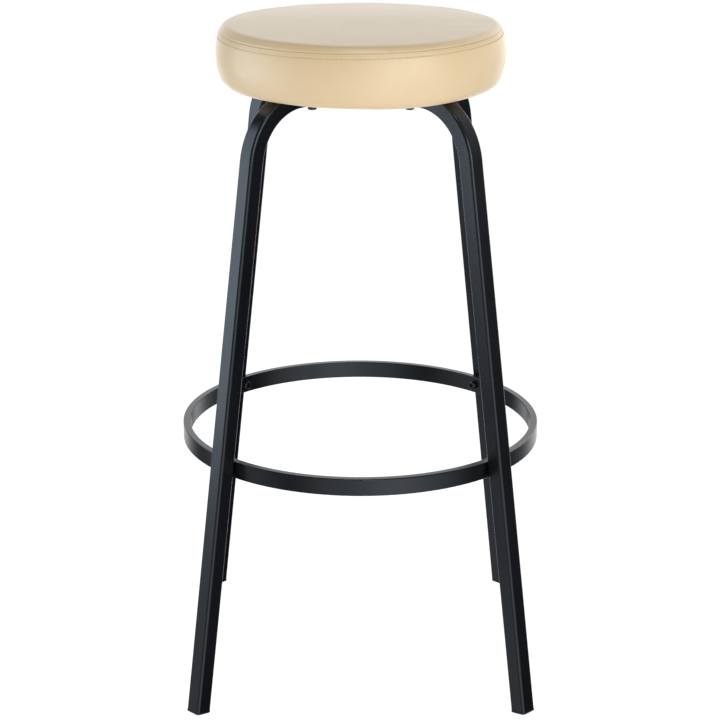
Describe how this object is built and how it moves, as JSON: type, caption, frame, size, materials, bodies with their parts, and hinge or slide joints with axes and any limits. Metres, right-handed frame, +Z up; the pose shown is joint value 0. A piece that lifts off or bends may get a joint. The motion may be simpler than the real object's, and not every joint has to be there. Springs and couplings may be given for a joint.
{
  "type": "bar stool",
  "caption": "Round bar stool: puffy vinyl seat on a free-turning ball-bearing swivel, bent square-tube legs and a flat-bar foot ring.",
  "frame": {"origin": "on the floor, on the seat's turning axis", "axes": "+Z up along the seat's turning axis, -Y to the front, legs on the diagonals between X and Y"},
  "size_m": [0.4207, 0.4206, 0.7712],
  "materials": {
    "black_powder_coat": "satin powder coat",
    "black_plastic": "moulded matte",
    "black_screws": "blackened steel",
    "zinc_steel": "zinc plated",
    "polished_steel": "polished",
    "brass": "stamped",
    "plywood": "raw plywood",
    "foam": "open-cell foam",
    "cream_vinyl": "smooth semi-gloss vinyl",
    "black_cloth": "non-woven cloth"
  },
  "bodies": {
    "frame": {"leg_front_left": "black_powder_coat", "leg_front_right": "black_powder_coat", "leg_back_left": "black_powder_coat", "leg_back_right": "black_powder_coat", "foot_cap_front_left": "black_plastic", "foot_cap_front_right": "black_plastic", "foot_cap_back_left": "black_plastic", "foot_cap_back_right": "black_plastic", "foot_ring": "black_powder_coat", "ring_bushes": "zinc_steel", "ring_bolts": "black_screws", "arm_bolts": "black_screws", "arm_washers": "black_screws", "arm_nuts": "zinc_steel", "swivel_lower_plate": "zinc_steel", "swivel_rivet": "zinc_steel"},
    "bearing": {"swivel_cage": "brass", "swivel_balls": "polished_steel"},
    "seat": {"swivel_upper_plate": "zinc_steel", "plate_screws": "zinc_steel", "seat_board": "plywood", "seat_foam": "foam", "seat_side_band": "cream_vinyl", "seat_top_panel": "cream_vinyl", "dust_cover": "black_cloth", "staples": "zinc_steel"}
  },
  "joints": [
    {"name": "seat_swivel", "type": "hinge", "parent": "frame", "child": "seat", "pos_m": [0, 0, 0.7095], "axis": [0, 0, 1], "continuous": true},
    {"name": "bearing_turn", "type": "hinge", "parent": "frame", "child": "bearing", "pos_m": [0, 0, 0.7095], "axis": [0, 0, 1], "continuous": true}
  ],
  "couplings": [
    {"joint": "bearing_turn", "follows": "seat_swivel", "ratio": 0.5}
  ]
}
